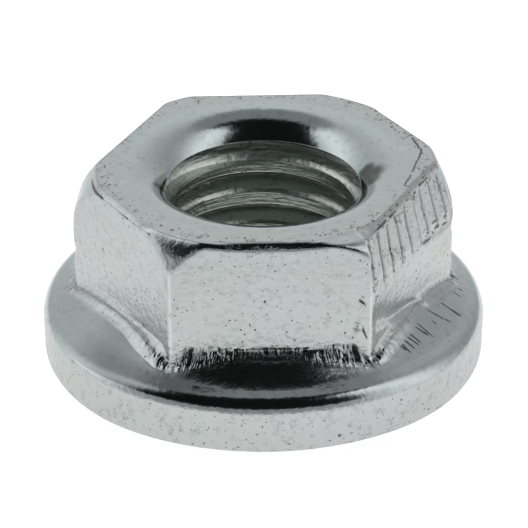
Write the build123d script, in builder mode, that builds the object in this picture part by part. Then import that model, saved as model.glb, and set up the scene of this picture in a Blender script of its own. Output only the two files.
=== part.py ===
"""Serrated flange nut, 3/8-16 UNC: one cold-forged steel piece, zinc plated.

Millimetres, +Z up. The origin is on the thread's axis, in the plane of the
serration crests that bear on the joint. Two flats of the hexagon face -Y and +Y.
The helical thread is finer than this model: the bore stands at its crests.
"""
from build123d import *
import os
from math import cos, radians, tan

# Thread
thread_major = 9.525
thread_pitch = 25.4 / 16
crest_depth = 1.0825 * thread_pitch  # on the diameter, from the major to the crests
countersink_angle = 45  # of the bottom entry, measured from the axis
countersink_allowance = 0.25  # radial, past the major diameter

# Hexagon
flat_count = 6
across_flats = 14.15
nut_height = 8.4
corner_round = 0.3
land_inset = 0.1  # top land's edge, in from the flats, before it is rounded
land_edge_round = 0.3
crown_depth = 2.6  # how far the barrel-shaped crown runs down each corner

# Funnel at the top of the bore
lip_allowance = 0.23  # radial, from the thread crests to the funnel's lip
mouth_diameter = 12.2  # where the funnel's round meets the top land
funnel_depth = 1.0  # top land to the lip

# Flange
flange_diameter = 19.05
rim_height = 2.25  # bearing plane to the ledge on top of the rim
rim_top_round = 0.75
rim_bottom_round = 0.15
ledge_width = 0.2  # level ring between the rim's round and the slope
flange_slope = 32  # degrees from level, rising to the hexagon

# Serrations of the bearing face
tooth_count = 24
tooth_depth = 0.38  # at the teeth's outer ends, less towards the axis
tooth_crest_share = 0.14  # of the tooth pitch, level on the bearing plane
bite_angle = 72  # steep flank, from the bearing plane: grips when the nut loosens
seat_ring_width = 0.4  # plain ring between the countersink and the teeth
outer_ring_width = 0.4  # plain ring between the teeth and the rim's round

# Radii that follow
bore_radius = (thread_major - crest_depth) / 2
countersink_radius = thread_major / 2 + countersink_allowance
lip_radius = bore_radius + lip_allowance
mouth_radius = mouth_diameter / 2
land_radius = across_flats / 2 - land_inset
corner_radius = across_flats / 2 / cos(radians(180 / flat_count))
flange_radius = flange_diameter / 2
slope_radius = flange_radius - rim_top_round - ledge_width
tooth_inner_radius = countersink_radius + seat_ring_width
tooth_outer_radius = flange_radius - rim_bottom_round - outer_ring_width
tooth_pitch = 2 * tooth_outer_radius * tan(radians(180 / tooth_count))

# Heights that follow
crown_start = nut_height - crown_depth
lip_height = nut_height - funnel_depth
thread_start = lip_height - lip_allowance
slope_top = rim_height + slope_radius * tan(radians(flange_slope))
countersink_depth = (countersink_radius - bore_radius) / tan(radians(countersink_angle))
clear = 1  # how far a cutting tool stands off the faces it opens

# One gap between two teeth. Its section grows with the radius, as a die's ray does,
# and both ends run out at 45 degrees into the plain rings.
gap_width = tooth_pitch * (1 - tooth_crest_share)
steep_run = tooth_depth / tan(radians(bite_angle))
gap_section = (
    (-gap_width / 2, -tooth_depth),
    (-gap_width / 2, 0),
    (steep_run - gap_width / 2, tooth_depth),
    (gap_width / 2, 0),
    (gap_width / 2, -tooth_depth),
)
with BuildPart() as tooth_gap:
    for radius in (tooth_inner_radius, tooth_outer_radius):
        growth = radius / tooth_outer_radius
        with BuildSketch(Plane.YZ.offset(radius)):
            with BuildLine():
                Polyline(*[(y * growth, z * growth) for y, z in gap_section], close=True)
            make_face()
    loft(ruled=True)
    with BuildSketch(Plane.XZ):
        with BuildLine():
            Polyline(
                (tooth_inner_radius - clear, -clear),
                (tooth_inner_radius + tooth_depth, tooth_depth),
                (tooth_outer_radius - tooth_depth, tooth_depth),
                (tooth_outer_radius + clear, -clear),
                close=True,
            )
        make_face()
    revolve(axis=Axis.Z, mode=Mode.INTERSECT)

# The flange blank: rim, ledge and the slope that runs up inside the hexagon, so
# that the flats run down to a sharp fold
with BuildPart() as flange_blank:
    with BuildSketch(Plane.XZ):
        with BuildLine():
            Polyline(
                (0, slope_top),
                (0, 0),
                (flange_radius, 0),
                (flange_radius, rim_height),
                (slope_radius, rim_height),
                close=True,
            )
        make_face()
        fillet(vertices().group_by(Axis.X)[-1].sort_by(Axis.Y)[0], rim_bottom_round)
        fillet(vertices().group_by(Axis.X)[-1].sort_by(Axis.Y)[-1], rim_top_round)
    revolve(axis=Axis.Z)

# The hexagon, cut to the barrel-shaped crown that rounds its six corners over
with BuildPart() as hexagon_blank:
    with BuildSketch():
        RegularPolygon(across_flats / 2, flat_count, major_radius=False)
        fillet(vertices(), corner_round)
    extrude(amount=nut_height)
    with BuildSketch(Plane.XZ):
        with BuildLine():
            Polyline(
                (land_radius, nut_height),
                (0, nut_height),
                (0, 0),
                (corner_radius, 0),
                (corner_radius, crown_start),
            )
            TangentArc(
                (corner_radius, crown_start), (land_radius, nut_height), tangent=(0, 1)
            )
        make_face()
        fillet(vertices().group_by(Axis.Y)[-1].sort_by(Axis.X)[-1], land_edge_round)
    revolve(axis=Axis.Z, mode=Mode.INTERSECT)

# The nut: both blanks in one piece, bored, funnelled, countersunk and serrated
with BuildPart() as flange_nut:
    add(flange_blank.part)
    add(hexagon_blank.part)
    with BuildSketch(Plane.XZ):
        with BuildLine():
            Polyline(
                (mouth_radius, nut_height),
                (mouth_radius, nut_height + clear),
                (0, nut_height + clear),
                (0, -clear),
                (countersink_radius + clear * tan(radians(countersink_angle)), -clear),
                (bore_radius, countersink_depth),
                (bore_radius, thread_start),
                (lip_radius, lip_height),
            )
            TangentArc((mouth_radius, nut_height), (lip_radius, lip_height), tangent=(-1, 0))
        make_face()
    revolve(axis=Axis.Z, mode=Mode.SUBTRACT)
    with PolarLocations(0, tooth_count):
        add(tooth_gap.part, mode=Mode.SUBTRACT)

flange_nut.part.label = "flange_nut"
os.makedirs("parts", exist_ok=True)
export_step(flange_nut.part, "parts/flange_nut.step")
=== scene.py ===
"""Serrated flange nut: one cold-forged steel piece, tapped 3/8-16 and bright zinc plated."""
import math
import bpy
import numpy as np
from mathutils import Euler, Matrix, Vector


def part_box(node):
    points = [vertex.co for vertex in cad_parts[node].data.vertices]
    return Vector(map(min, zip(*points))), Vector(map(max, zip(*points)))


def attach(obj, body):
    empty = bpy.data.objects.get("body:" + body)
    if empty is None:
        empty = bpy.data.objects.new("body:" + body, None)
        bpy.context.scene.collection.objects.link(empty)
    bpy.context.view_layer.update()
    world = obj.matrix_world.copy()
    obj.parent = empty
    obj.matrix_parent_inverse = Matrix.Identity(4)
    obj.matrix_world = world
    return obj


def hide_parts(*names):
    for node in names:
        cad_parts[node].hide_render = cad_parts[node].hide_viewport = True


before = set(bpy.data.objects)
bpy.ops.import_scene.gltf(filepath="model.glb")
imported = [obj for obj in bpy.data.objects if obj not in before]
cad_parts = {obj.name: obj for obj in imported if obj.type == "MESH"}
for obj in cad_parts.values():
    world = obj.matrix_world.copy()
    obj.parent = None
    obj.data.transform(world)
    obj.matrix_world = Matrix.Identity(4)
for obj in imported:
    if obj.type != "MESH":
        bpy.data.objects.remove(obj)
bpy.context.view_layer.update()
lowest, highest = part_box("flange_nut")

# Sizes in millimetres, with +Z up the thread's axis and flats facing -Y and +Y.
MM = 0.001
TURN = 2 * math.pi
FRONT = 1.5 * math.pi
FLANGE_RADIUS = (highest.x - lowest.x) / 2 / MM
NUT_HEIGHT = highest.z / MM
PITCH = 25.4 / 16
BORE_RADIUS = 3.9033
THREAD_DEPTH = 0.82
FLAT_COUNT = 6
SECTOR = TURN / FLAT_COUNT
APOTHEM = 7.075
CORNER_ROUND = 0.3
CORNER_REACH = APOTHEM / math.cos(SECTOR / 2)
MOUTH_RADIUS = 6.1
LIP_RADIUS = 4.133
LIP_HEIGHT = 7.4
UNDERCUT_RADIUS = 4.5
RIM_HEIGHT = 2.25
RIM_TOP_ROUND = 0.75
RIM_BOTTOM_ROUND = 0.15
LEDGE = 0.02
LEDGE_EASE = 0.03
LEDGE_TILT = math.radians(18)
SLOPE = math.radians(32)
SLOPE_RADIUS = FLANGE_RADIUS - RIM_TOP_ROUND - LEDGE
COUNTERSINK_RADIUS = 5.0125
TOOTH_COUNT = 24
TOOTH_DEPTH = 0.38
TOOTH_CREST = 0.14
TOOTH_STEEP = 0.053
PLAIN_RING = 0.4
TOOTH_OUTER = FLANGE_RADIUS - RIM_BOTTOM_ROUND - PLAIN_RING
TOOTH_INNER = COUNTERSINK_RADIUS + PLAIN_RING

# The lip under the funnel, outside in: each point's radius, and how far it lies under the lip's edge.
LIP_PROFILE = ((UNDERCUT_RADIUS, 0.06), (4.25, 0.03), (4.16, 0.03), (LIP_RADIUS - 0.01, 0.02))
# The thread: a crest's lower edge is CREST_HEIGHT up at the angle CREST_TURN. Its turns tilt a little
# to one side, which fades in over the heights of TILT_FOOT and out over those of TILT_TOP. The bore
# widens to the undercut from ENTRY_START up. PHASES are the shares of the pitch that have a row of
# points, and END_SQUEEZE keeps the rows apart that run past the thread's top and foot.
THREAD_TOP = 7.2
THREAD_FOOT = 0.25
THREAD_TILT = 0.05
TILT_FOOT = (0.6, 2.0)
TILT_TOP = (7.2, 6.4)
CREST_SHARE = 0.36
ROOT_SHARE = 0.1
CREST_HEIGHT = 5.97
CREST_TURN = math.radians(87.7)
ENTRY_START = 6.5
END_SQUEEZE = 0.07
PHASES = (0.0, 0.02, 0.1, 0.18, 0.26, 0.34, 0.36, 0.45, 0.54, 0.63, 0.68, 0.73, 0.82, 0.91)

# The crown, which rounds the corners over, by the angle in degrees: its reach at the land, how far
# down it starts, and the power of its curve. Each table is averaged over EASE_TURN degrees each way.
EASE_TURN = 4.0
CROWN_LAND = ((0, 7.3), (60, 7.3), (120, 7.35), (180, 7.02), (228, 7.3), (240, 7.25), (252, 7.35),
              (280, 7.3), (286, 7.1), (292, 6.93), (299, 6.78), (306, 6.66), (312, 6.66), (325, 7.0))
CROWN_DEPTH = ((0, 3.2), (60, 2.6), (120, 2.2), (180, 3.2), (225, 2.2), (240, 1.65),
               (300, 1.35), (330, 2.2))
CROWN_CURVE = ((0, 2.0), (180, 2.0), (222, 2.0), (240, 1.4), (270, 2.0), (300, 3.0), (330, 2.0))
CROWN_EASE = 0.035
# Each flat's top edge, by the flat's angle in degrees: how far in it lies, how much further in for
# each millimetre along it, how far down it starts to lean in, and the power of that curve.
EDGE_INSET = {30: 0.04, 90: 0.36, 150: 0.64, 210: 0.2, 270: 0.2, 330: 0.2}
EDGE_SKEW = {30: -0.04, 90: 0.0, 150: 0.05, 210: 0.0, 270: 0.0, 330: 0.0}
EDGE_DROP = {30: 0.4, 90: 0.7, 150: 1.2, 210: 0.2, 270: 0.35, 330: 0.16}
EDGE_CURVE = 1.25
# The round of the land's edge, by the angle in degrees.
EDGE_ROUND = ((0, 0.24), (30, 0.2), (60, 0.26), (120, 0.26), (180, 0.24), (192, 0.1), (225, 0.1),
              (240, 0.4), (252, 0.28), (290, 0.28), (300, 0.3), (310, 0.1), (350, 0.1))
# The fold at each flat's foot: how far it is a rolled bead, its fillet, and its least height. It is
# FOLD_WIDTH wide, its fillet reaches FOLD_REACH up the flat, and FOLD_EASE is an angle off a corner.
ROLLED_FOLD = {30: 0.7, 90: 0.0, 150: 1.0, 210: 1.0, 270: 0.0, 330: 0.8}
FOLD_FILLET = {30: 0.16, 90: 0.12, 150: 0.16, 210: 0.16, 270: 0.0, 330: 0.16}
FOLD_LEVEL = {30: 0.0, 90: 3.3, 150: 0.0, 210: 0.0, 270: 3.3, 330: 0.0}
FOLD_WIDTH = 0.36
FOLD_REACH = 0.32
FOLD_EASE = 0.08
BEAD = 0.07
# Hollows where the die didn't fill: places along the flat, their floor, their top, their depth. They
# are soft over HOLLOW_END at both ends and over HOLLOW_BRIM of their height.
HOLLOW_END = 0.7
HOLLOW_BRIM = 0.3
HOLLOWS = {
    210: ((-1.7, -0.4, 0.4, 1.7, 2.5, 3.3, 3.95), (3.12, 3.12, 3.12, 3.12, 3.1, 3.05, 3.0),
          (3.15, 3.5, 3.58, 3.72, 3.65, 3.49, 3.1), 0.11),
    330: ((-4.1, -3.7, -2.3, -0.6, 0.5, 1.0), (3.9, 3.68, 3.4, 3.25, 3.12, 3.1),
          (5.7, 5.3, 4.65, 4.0, 3.5, 3.15), 0.16),
    30: ((-1.0, 0.6, 2.3, 4.1), (3.1, 3.2, 3.4, 3.8), (3.15, 3.9, 4.5, 5.4), 0.13),
    150: ((-3.8, -2.4, 0.4, 1.7), (3.05, 3.1, 3.12, 3.12), (3.2, 3.65, 3.5, 3.15), 0.12),
}
# The dragged flat leans in above LEAN_FOOT. It steps in a little over the heights of DRAG_START, and
# more along a ragged line to one side of its middle, which falls from RAGGED_LEVEL at RAGGED_MIDDLE.
DRAGGED_FLAT = 330
LEAN_FOOT = 6.2
LEAN = 0.24
DRAG_START = (5.8, 6.1)
DRAG_STEP = 0.03
RAGGED_MIDDLE = 0.8
RAGGED_START = (0.6, 1.1)
RAGGED_LEVEL = 5.72
RAGGED_FALL = 0.1
RAGGED_WAVE = 0.05
RAGGED_STEP = 0.09
# Its grooves: how far they are shifted along the flat and wander there, how often they wander in a
# metre, the height over which they run out at their foot, the heights below it over which a burr
# rises, and the heights over which they fade out above.
GROOVE_SHIFT = 0.5
GROOVE_WANDER = 0.2
GROOVE_WANDERS = 900.0
GROOVE_END = 0.15
BURR_RISE = (-0.3, -0.1)
GROOVE_TOP = (7.7, 8.1)
# Knocks on the corners: angle in degrees, height, size, depth.
KNOCKS = (
    (300.6, 6.98, 0.2, 0.12), (302.0, 5.94, 0.22, 0.14), (297.6, 5.5, 0.18, 0.1),
    (296.2, 4.2, 0.22, 0.1), (240.4, 5.1, 0.15, 0.05), (238.6, 6.3, 0.3, 0.05),
    (0.5, 5.2, 0.3, 0.1), (180.6, 4.4, 0.3, 0.08), (61.0, 6.2, 0.4, 0.1), (119.5, 4.0, 0.3, 0.1),
)
# How the whole settled. Its top leans towards -Y, from TILT_HEIGHT up. Its rim is RIM_LIFT higher at
# -Y, from LIFT_HEIGHT up and outside LIFT_RADIUS. It bulges outside BULGE_RADIUS: each bulge by its
# angle and spread in degrees and how far out it goes.
TOP_TILT = 0.012
TILT_HEIGHT = 4.0
RIM_LIFT = 0.18
LIFT_FRONT = (-0.3, -0.95)
LIFT_HEIGHT = (0.6, 1.5)
LIFT_RADIUS = (7.0, 7.6)
BULGES = ((225, 24, 0.14), (316, 20, 0.12))
BULGE_RADIUS = (8.2, 9.3)
# Dents in the top land, from DENT_HEIGHT up: across, towards the back, size, depth.
DENT_HEIGHT = 8.0
DENTS = (
    (-3.3, -5.75, 0.35, 0.07), (-2.7, -6.1, 0.25, 0.05), (-5.6, 0.6, 0.3, 0.06), (-5.9, -1.7, 0.4, 0.05),
    (0.8, -6.5, 0.3, 0.04), (5.9, 1.0, 0.35, 0.05), (4.3, 4.6, 0.3, 0.06), (-4.6, -4.6, 0.25, 0.05),
    (2.6, -6.3, 0.5, 0.05), (-1.4, 6.3, 0.4, 0.04),
)
# Darker patches round the funnel: angle in degrees, radius, size.
FUNNEL_DARK_PATCHES = ((-2.0, 4.5, 0.62), (-9.0, 4.5, 0.45), (6.0, 4.35, 0.45), (190.0, 4.4, 0.35))
# Scores that run down the slope: angle at their top and at their foot, radius at each.
SCORES = (
    (311.0, 312.3, 7.84, 8.29), (312.5, 313.2, 7.83, 8.48), (314.2, 315.3, 7.78, 8.38),
    (315.9, 317.6, 7.76, 8.35), (317.7, 319.2, 7.73, 8.47), (322.0, 322.8, 7.58, 8.09),
    (324.0, 324.4, 7.67, 8.29), (322.7, 324.8, 8.12, 8.4), (329.7, 330.3, 7.97, 8.24),
    (332.7, 335.6, 7.56, 8.63), (340.3, 341.0, 7.53, 7.95), (341.0, 341.2, 7.95, 8.72),
    (343.5, 344.5, 7.6, 7.9), (351.0, 350.5, 8.2, 8.7), (354.3, 355.0, 8.2, 8.6),
)
# Half a score's width, and the millimetres round the slope for each degree.
SCORE_WIDTH = 0.038
SCORE_ARC = 0.14
# Scores in the top land: across and towards the back at each end, in the order they run.
LAND_SCORES = (
    (6.47, 2.15, 6.77, 0.86), (6.77, 0.86, 6.17, -1.0), (6.1, -1.3, 5.75, -2.2), (5.45, -2.8, 5.2, -3.15),
    (4.3, -4.75, 4.2, -5.05), (-4.05, -5.75, -3.46, -5.15), (-3.46, -5.15, -2.76, -5.4),
    (-2.76, -5.4, -2.35, -5.95),
)
SCORE_WAVER = 0.12
# Scuffed places on the top land: across, towards the back, size.
SCUFFS = (
    (-5.2, 2.2, 0.9), (-3.2, -5.5, 0.8), (5.4, 0.2, 0.9), (3.6, -5.3, 0.8), (-5.8, -2.0, 0.7),
    (2.5, 6.2, 0.8),
)
# Scores in the flats: the flat's angle, then the place along it and the height at each end.
FLAT_SCORES = (
    (330, -3.3, 8.12, -1.9, 8.2), (330, -1.6, 8.18, -0.4, 8.12), (330, 0.1, 8.16, 1.3, 8.1),
    (330, 1.7, 8.16, 2.7, 8.14),
    (210, -3.4, 8.14, -1.2, 8.16), (210, -0.9, 8.12, 0.9, 8.15), (210, 1.3, 8.14, 2.6, 8.1),
    (330, 3.9, 5.5, 2.4, 5.92), (330, 2.4, 5.92, 1.9, 5.75), (330, 1.9, 5.75, 1.0, 5.8),
    (330, 2.5, 6.25, 1.65, 6.2), (330, 1.65, 6.2, 1.3, 5.9), (330, -3.98, 6.15, -3.62, 6.0),
    (330, -3.75, 5.2, -3.5, 5.45), (270, 3.6, 5.5, 3.85, 5.2), (270, 3.7, 4.1, 3.9, 3.7),
    (270, 3.55, 4.2, 3.75, 4.15),
)

# How smooth and how worn each face is, from 0 to 1. The skin is the forging's uneven surface. The
# side is rolled smooth under the land, and over the crown where it lies CROWN_INWARD inside the hexagon.
LAND_POLISH = 0.1
LAND_WEAR = 0.55
SCUFF_WEAR = 0.7
ROLLED_POLISH = 0.7
ROLLED_HEIGHT = (7.0, 7.8)
CROWN_POLISH = 0.88
CROWN_HEIGHT = (6.0, 6.6)
CROWN_INWARD = (0.03, 0.2)
EDGE_WEAR = 0.5
EDGE_WEAR_HEIGHT = (7.6, 8.3)
DRAG_WEAR = 0.4
DRAG_WEAR_HEIGHT = (5.6, 6.0)
FOLD_POLISH = 0.6
SLOPE_POLISH = 0.92
SLOPE_SKIN = 0.4
RIM_WEAR = 0.15
RIM_WEAR_HEIGHT = (1.7, 0.7)
# The fold is crimped most on the front flat, and less on the others, where it is calm between the
# places of CRIMP_ENDS. The flat's foot is crimped up to CRIMP_HEIGHT.
FRONT_FLAT = 270
SIDE_CRIMP = 0.75
CRIMP_ENDS = (3.6, 2.4)
CRIMP_HEIGHT = 0.14
# Painted highlights, bright lines: their reach beside a corner, and their strength on the thread's edges.
CORNER_GLINT = 0.07
EDGE_GLINT = 2.0

# Mesh density: points round a ring, how far they crowd towards -Y and the corners, and rows in each
# face. SIDE_STEPS holds rows of the side and the share of the way down that each has reached, and
# SINK_STEP is how far up the countersink its ring lies.
RING = 408
SIDE = 2 * RING
BORE = RING // 2
FRONT_CROWDING = 0.3
CORNER_CROWDING = 0.2
SINK_STEP = 0.04
FUNNEL_ROWS = 11
LAND_ROWS = 8
EDGE_ROWS = 6
SIDE_STEPS = ((0, 14, 30, 35, 49), (0, 0.28, 0.62, 0.81, 1))
FOLD_ROWS = 7
SLOPE_ROWS = 6
RIM_ROUND_ROWS = 7
RIM_WALL_ROWS = 4


def smooth(low, high, value):
    """0 below low, 1 above high, and an even ease between."""
    t = np.clip((value - low) / (high - low), 0, 1)
    return t * t * (3 - 2 * t)


def soft_min(a, b, reach):
    """The lesser of a and b, with the fold between them rounded over about reach."""
    return -reach * np.logaddexp(-a / reach, -b / reach)


def by_place(places, size):
    """A size for each place round the nut, from a table of angles in degrees and sizes."""
    return sum(np.where(places == angle, value, 0.0) for angle, value in size.items())


def by_turn(turn, sizes):
    """A size at each turn, carried evenly between a table's angles in degrees, with its bends eased."""
    angles, values = zip(*sizes)
    near = np.linspace(-EASE_TURN, EASE_TURN, 9)
    return sum(np.interp(np.degrees(turn) + step, angles, values, period=360) for step in near) / len(near)


def turn_gap(turn, degrees):
    """How far each turn is from an angle, in degrees from -180 to 180."""
    return (np.degrees(turn) - degrees + 180) % 360 - 180


# ---------------------------------------------------------------- the six flats
def flat_place(turn):
    """Each direction's flat: its outward angle in degrees, and the angle off its middle."""
    middle = (np.floor(turn / SECTOR) + 0.5) * SECTOR
    return np.round(np.degrees(middle)) % 360, turn - middle


def hexagon_radius(off):
    """Reach of the hexagon with rounded corners, by the angle off a flat's middle."""
    flat = APOTHEM / np.cos(off)
    centre = (APOTHEM - CORNER_ROUND) / math.cos(SECTOR / 2)
    psi = SECTOR / 2 - np.abs(off)
    corner = centre * np.cos(psi) + np.sqrt(np.maximum(CORNER_ROUND**2 - (centre * np.sin(psi)) ** 2, 0))
    starts = math.atan((APOTHEM - CORNER_ROUND) * math.tan(SECTOR / 2) / APOTHEM)
    return np.where(np.abs(off) < starts, flat, corner)


def crown_radius(turn, z):
    """Reach of the barrel-shaped crown, which rounds the hexagon's corners over."""
    depth = by_turn(turn, CROWN_DEPTH)
    share = np.maximum((z - NUT_HEIGHT + depth) / depth, 0) ** by_turn(turn, CROWN_CURVE)
    return CORNER_REACH - (CORNER_REACH - by_turn(turn, CROWN_LAND)) * share


def hollow_depth(outward, across, z):
    """The shallow hollows above the fold, with soft ends."""
    depth = 0.0
    for flat, (along, floor, top, deep) in HOLLOWS.items():
        low = np.interp(across, along, floor)
        high = np.maximum(np.interp(across, along, top), low + 0.05)
        up = (z - low) / (high - low)
        ends = smooth(along[0], along[0] + HOLLOW_END, across)
        ends = ends * smooth(along[-1], along[-1] - HOLLOW_END, across)
        shape = smooth(0.0, HOLLOW_BRIM, up) * smooth(1.0, HOLLOW_BRIM, up) * ends
        depth = depth + np.where(outward == flat, deep * shape, 0.0)
    return depth


def drag_depth(across, z):
    """The dragged flat leans in above its middle, and steps in along a ragged line."""
    line = RAGGED_LEVEL - RAGGED_FALL * (across - RAGGED_MIDDLE) + RAGGED_WAVE * np.sin(9 * across)
    step = RAGGED_STEP * smooth(line, line + 0.1, z) * smooth(*RAGGED_START, across)
    return LEAN * np.maximum(z - LEAN_FOOT, 0) + DRAG_STEP * smooth(*DRAG_START, z) + step


def knock_depth(turn, z):
    """Small knocks on the corners."""
    depth = 0.0
    for angle, height, size, deep in KNOCKS:
        along = np.radians(turn_gap(turn, angle)) * CORNER_REACH
        depth = depth + deep * np.exp(-2 * (along**2 + (z - height) ** 2) / size**2)
    return depth


def side_radius(turn, z):
    """Reach of the nut's side: the flats, the crown, and what the press and use have done to them."""
    outward, off = flat_place(turn)
    across = APOTHEM * np.tan(off)
    drop = by_place(outward, EDGE_DROP)
    inset = np.maximum(by_place(outward, EDGE_INSET) + by_place(outward, EDGE_SKEW) * across, 0)
    lean = inset * np.maximum((z - NUT_HEIGHT + drop) / drop, 0) ** EDGE_CURVE
    lean = lean + np.where(outward == DRAGGED_FLAT, drag_depth(across, z), 0.0)
    lean = lean + hollow_depth(outward, across, z)
    radius = hexagon_radius(off) - lean / np.cos(off)
    return soft_min(radius, crown_radius(turn, z), CROWN_EASE) - knock_depth(turn, z)


def flange_height(radius):
    """Height of the slope above the flange at each radius, easing into the ledge by the rim."""
    ledge_end = FLANGE_RADIUS - RIM_TOP_ROUND * (1 - math.sin(LEDGE_TILT))
    end_height = RIM_HEIGHT - RIM_TOP_ROUND * (1 - math.cos(LEDGE_TILT))
    ledge = end_height + (ledge_end - radius) * math.tan(LEDGE_TILT)
    steeper = math.tan(SLOPE) - math.tan(LEDGE_TILT)
    return ledge + LEDGE_EASE * np.logaddexp(0, (SLOPE_RADIUS - radius) * steeper / LEDGE_EASE)


# ---------------------------------------------------------------- rings of the blank
def columns(count, front=0.0, corner=0.0):
    """Rows of angles round the nut, crowded towards -Y by front and at the corners by corner."""
    even = np.arange(count) / count * TURN
    crowded = even - FRONT_CROWDING * np.sin(even - FRONT) * np.atleast_1d(front)[:, None]
    corner = np.atleast_1d(corner)[:, None]
    return crowded - CORNER_CROWDING * corner / FLAT_COUNT * np.sin(FLAT_COUNT * crowded)


def place(turn, radius, z):
    """Rows of points from angles, radii and heights that broadcast together."""
    turn, radius, z = np.broadcast_arrays(turn, radius, z)
    return np.stack([radius * np.cos(turn), radius * np.sin(turn), z], -1)


def lip_rows(turn):
    """The thin lip over the bore, with the cut under it."""
    radius, under = np.array(LIP_PROFILE).T
    return place(turn, radius[:, None], (LIP_HEIGHT - under)[:, None])


def funnel_rows(turn):
    """The rounded funnel that leads into the bore, from the lip to the mouth."""
    reach = MOUTH_RADIUS - LIP_RADIUS
    fall = NUT_HEIGHT - LIP_HEIGHT
    bend_radius = (reach**2 + fall**2) / (2 * fall)
    bend = math.asin(reach / bend_radius) * np.linspace(1.0, 0.0, FUNNEL_ROWS)[:, None]
    radius = MOUTH_RADIUS - bend_radius * np.sin(bend)
    return place(turn, radius, NUT_HEIGHT - bend_radius * (1 - np.cos(bend)))


def edge_start(turn):
    """Radius where the land's edge starts to round over, and the side's tilt there."""
    step = 0.02
    edge_radius = side_radius(turn, NUT_HEIGHT)
    tilt = np.arctan((side_radius(turn, NUT_HEIGHT - step) - edge_radius) / step)
    return edge_radius - by_turn(turn, EDGE_ROUND) * (1 - np.sin(tilt)) / np.cos(tilt), tilt


def land_rows(turns, shares):
    """Rings of the top land, each at its share of the way out to the rounded edge."""
    reach = edge_start(turns)[0] - MOUTH_RADIUS
    return place(turns, MOUTH_RADIUS + reach * shares[:, None], NUT_HEIGHT)


def side_rows(turn):
    """The land's rounded edge and the side, down to the fold above the flange."""
    centre, tilt = edge_start(turn)
    bend = math.pi / 2 + (tilt - math.pi / 2) * (np.arange(1, EDGE_ROWS + 1) / EDGE_ROWS)[:, None]
    round_over = by_turn(turn, EDGE_ROUND)
    edge = place(turn, centre + round_over * np.cos(bend), NUT_HEIGHT - round_over * (1 - np.sin(bend)))
    start = edge[-1, :, 2]
    outward, off = flat_place(turn)
    inside = smooth(SECTOR / 2 - 0.01, SECTOR / 2 - FOLD_EASE, np.abs(off))
    foot = flange_height(hexagon_radius(off))
    foot = foot + np.maximum(by_place(outward, FOLD_LEVEL) - foot, 0) * inside
    down = np.interp(np.arange(1, SIDE_STEPS[0][-1] + 1), *SIDE_STEPS)[:, None]
    z = start + (foot - start) * down
    fillet = by_place(outward, FOLD_FILLET) * inside * np.clip(1 - (z - foot) / FOLD_REACH, 0, 1) ** 2
    return np.concatenate([edge, place(turn, side_radius(turn, z) + fillet, z)])


def fold_rows(turns, foot):
    """The fold between the side and the slope: hollow on some flats, a rolled bead on others."""
    foot_radius = np.hypot(foot[:, 0], foot[:, 1])
    share = (np.arange(1, FOLD_ROWS + 1) / FOLD_ROWS)[:, None]
    outward, off = flat_place(turns)
    rolled = by_place(outward, ROLLED_FOLD) * smooth(SECTOR / 2, SECTOR / 2 - FOLD_EASE, np.abs(off))
    radius = foot_radius + share * np.minimum(FOLD_WIDTH, 0.8 * (SLOPE_RADIUS - foot_radius))
    proud = foot[:, 2] - flange_height(foot_radius)
    bead = (1 - share**3) * (proud + BEAD * np.sin(share * math.pi))
    hollow = proud * (1 - share) ** 2
    return place(turns, radius, flange_height(radius) + hollow * (1 - rolled) + bead * rolled)


def slope_rows(turns, start, shares):
    """Rings of the flange's slope, each at its share of the way out to the ledge."""
    start_radius = np.hypot(start[:, 0], start[:, 1])
    radius = start_radius + (SLOPE_RADIUS - start_radius) * shares[:, None]
    return place(turns, radius, flange_height(radius))


def rim_rows():
    """The ledge, the rim's two rounds and its wall, down to the bearing plane."""
    top = np.linspace(math.pi / 2 - LEDGE_TILT, 0, RIM_ROUND_ROWS)
    bottom = np.linspace(0, -math.pi / 2, RIM_ROUND_ROWS - 2)
    wall = np.linspace(RIM_HEIGHT - RIM_TOP_ROUND, RIM_BOTTOM_ROUND, RIM_WALL_ROWS + 2)[1:-1]
    radius = np.concatenate([
        [SLOPE_RADIUS + LEDGE / 2],
        FLANGE_RADIUS - RIM_TOP_ROUND * (1 - np.cos(top)),
        np.full(RIM_WALL_ROWS, FLANGE_RADIUS),
        FLANGE_RADIUS - RIM_BOTTOM_ROUND * (1 - np.cos(bottom)),
    ])
    z = np.concatenate([
        flange_height(np.array([SLOPE_RADIUS + LEDGE / 2])),
        RIM_HEIGHT - RIM_TOP_ROUND * (1 - np.sin(top)),
        wall,
        RIM_BOTTOM_ROUND * (1 + np.sin(bottom)),
    ])
    return place(columns(RING, smooth(0.1, RIM_HEIGHT, z)), radius[:, None], z[:, None])


def bearing_rows(turn):
    """Level rings across the bearing face, from the outer plain ring to the countersink."""
    run = np.linspace(0, TOOTH_DEPTH, 4)
    radius = np.concatenate([
        TOOTH_OUTER - run,
        np.linspace(TOOTH_OUTER - TOOTH_DEPTH, TOOTH_INNER + TOOTH_DEPTH, 4)[1:-1],
        TOOTH_INNER + run[::-1],
        [COUNTERSINK_RADIUS + PLAIN_RING / 2, COUNTERSINK_RADIUS],
    ])
    return place(turn, radius[:, None], 0.0)


def tooth_turns():
    """Angles round the bearing face that fall on each tooth's edges, and their phases."""
    per_tooth = RING // TOOTH_COUNT
    phase = np.interp(
        np.arange(per_tooth),
        [0, 1, per_tooth - 3, per_tooth],
        [0, TOOTH_STEEP, 1 - TOOTH_CREST, 1],
    )
    phases = np.tile(phase, TOOTH_COUNT)
    tooth = np.repeat(np.arange(TOOTH_COUNT), per_tooth)
    return (tooth + phases) * TURN / TOOTH_COUNT, phases


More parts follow.
